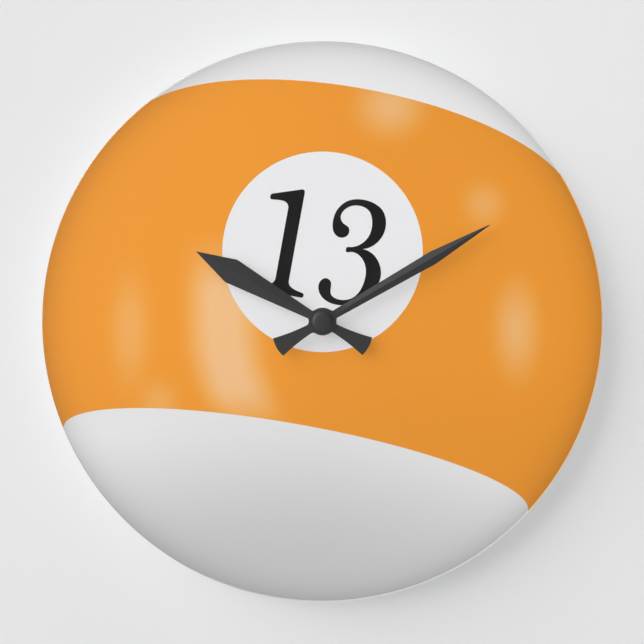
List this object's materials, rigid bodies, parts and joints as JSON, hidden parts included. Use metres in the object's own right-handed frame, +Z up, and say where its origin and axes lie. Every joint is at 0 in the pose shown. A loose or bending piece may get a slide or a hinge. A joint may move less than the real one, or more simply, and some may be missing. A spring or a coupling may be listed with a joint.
{
  "type": "wall clock",
  "caption": "Round acrylic wall clock with a printed billiard-ball dial, two coupled hands and a battery quartz movement with its gear train.",
  "frame": {"origin": "on the hands' axis, in the flat rear face of the movement that lies against the wall", "axes": "+Z up, +Y into the wall along the hands' axis, -Y towards the reader, +X to the reader's right"},
  "size_m": [0.273, 0.0302, 0.273],
  "materials": {
    "acrylic": "clear cast acrylic sheet, polished bevels",
    "print_white": "white print, satin",
    "print_dot": "white print, satin",
    "print_orange": "orange print, satin",
    "print_black": "black print, satin",
    "hand_black": "satin black paint on stamped aluminium",
    "cap_black": "satin black",
    "brass": "turned",
    "steel": "zinc plated",
    "arbor_steel": "ground",
    "iron": "soft iron, bare",
    "rubber": "matte",
    "case_black": "moulded ABS, fine spark texture",
    "bridge_grey": "moulded, glass filled",
    "gear_white": "acetal",
    "bobbin": "nylon",
    "copper": "enamelled copper wire",
    "board": "solder mask on phenolic board",
    "resin": "epoxy",
    "contact": "nickel plated",
    "magnet": "sintered, nickel grey",
    "cell_steel": "nickel plated",
    "cell_jacket": "plain shrink sleeve"
  },
  "bodies": {
    "clock_body": {"dial_disc": "acrylic", "print_white_base": "print_white", "print_orange_band": "print_orange", "print_number_dot": "print_dot", "print_numerals": "print_black", "hanger_plate": "steel", "dial_gasket": "rubber", "arbor_bushing": "brass", "dial_washer": "brass", "dial_nut": "brass", "case_front": "case_black", "case_back": "case_black", "train_bridge": "bridge_grey", "stator": "iron", "coil_core": "iron", "coil_bobbin": "bobbin", "coil_winding": "copper", "coil_leads": "copper", "circuit_board": "board", "chip_blob": "resin", "quartz_crystal": "steel", "contact_positive": "contact", "contact_negative": "contact"},
    "battery": {"battery_can": "cell_steel", "battery_jacket": "cell_jacket"},
    "minute_hand_set": {"minute_pipe": "brass", "minute_hand": "hand_black", "hand_cap": "cap_black"},
    "hour_hand_set": {"hour_wheel": "gear_white", "hour_hand": "hand_black"},
    "minute_wheel_set": {"minute_wheel": "gear_white"},
    "setting_knob_set": {"setting_knob": "gear_white"},
    "seconds_wheel_set": {"seconds_wheel": "gear_white", "seconds_arbor": "arbor_steel"},
    "third_wheel_set": {"third_wheel": "gear_white", "third_pinion": "arbor_steel"},
    "centre_wheel_set": {"centre_wheel": "gear_white", "clutch_spring": "contact"},
    "fifth_wheel_set": {"fifth_wheel": "gear_white"},
    "rotor": {"rotor_pinion": "gear_white", "rotor_magnet": "magnet"}
  },
  "joints": [
    {"name": "minute_hand_spin", "type": "hinge", "parent": "clock_body", "child": "minute_hand_set", "pos_m": [0, -0.0274, 0], "axis": [0, 1, 0], "continuous": true},
    {"name": "hour_hand_spin", "type": "hinge", "parent": "clock_body", "child": "hour_hand_set", "pos_m": [0, -0.0255, 0], "axis": [0, 1, 0], "continuous": true},
    {"name": "minute_wheel_spin", "type": "hinge", "parent": "clock_body", "child": "minute_wheel_set", "pos_m": [-0.007, -0.0116, 0], "axis": [0, 1, 0], "continuous": true},
    {"name": "setting_knob_spin", "type": "hinge", "parent": "clock_body", "child": "setting_knob_set", "pos_m": [-0.01334, -0.001, -0.00296], "axis": [0, 1, 0], "continuous": true},
    {"name": "seconds_wheel_spin", "type": "hinge", "parent": "clock_body", "child": "seconds_wheel_set", "pos_m": [0, -0.0054, 0], "axis": [0, 1, 0], "continuous": true},
    {"name": "third_wheel_spin", "type": "hinge", "parent": "clock_body", "child": "third_wheel_set", "pos_m": [-0.00148, -0.0075, 0.00837], "axis": [0, 1, 0], "continuous": true},
    {"name": "centre_wheel_spin", "type": "hinge", "parent": "clock_body", "child": "centre_wheel_set", "pos_m": [0, -0.0099, 0], "axis": [0, 1, 0], "continuous": true},
    {"name": "fifth_wheel_spin", "type": "hinge", "parent": "clock_body", "child": "fifth_wheel_set", "pos_m": [0.00827, -0.0039, -0.00146], "axis": [0, 1, 0], "continuous": true},
    {"name": "rotor_spin", "type": "hinge", "parent": "clock_body", "child": "rotor", "pos_m": [0.01287, -0.0062, 0.0024], "axis": [0, 1, 0], "continuous": true},
    {"name": "battery_slide", "type": "slide", "parent": "clock_body", "child": "battery", "axis": [0, 1, 0], "range_m": [0, 0.02]}
  ],
  "couplings": [
    {"joint": "hour_hand_spin", "follows": "minute_hand_spin", "ratio": 0.083333},
    {"joint": "minute_wheel_spin", "follows": "minute_hand_spin", "ratio": -0.33333},
    {"joint": "setting_knob_spin", "follows": "minute_hand_spin", "ratio": 1},
    {"joint": "third_wheel_spin", "follows": "seconds_wheel_spin", "ratio": -0.13333},
    {"joint": "centre_wheel_spin", "follows": "seconds_wheel_spin", "ratio": 0.016667},
    {"joint": "fifth_wheel_spin", "follows": "seconds_wheel_spin", "ratio": -6},
    {"joint": "rotor_spin", "follows": "seconds_wheel_spin", "ratio": 30}
  ]
}
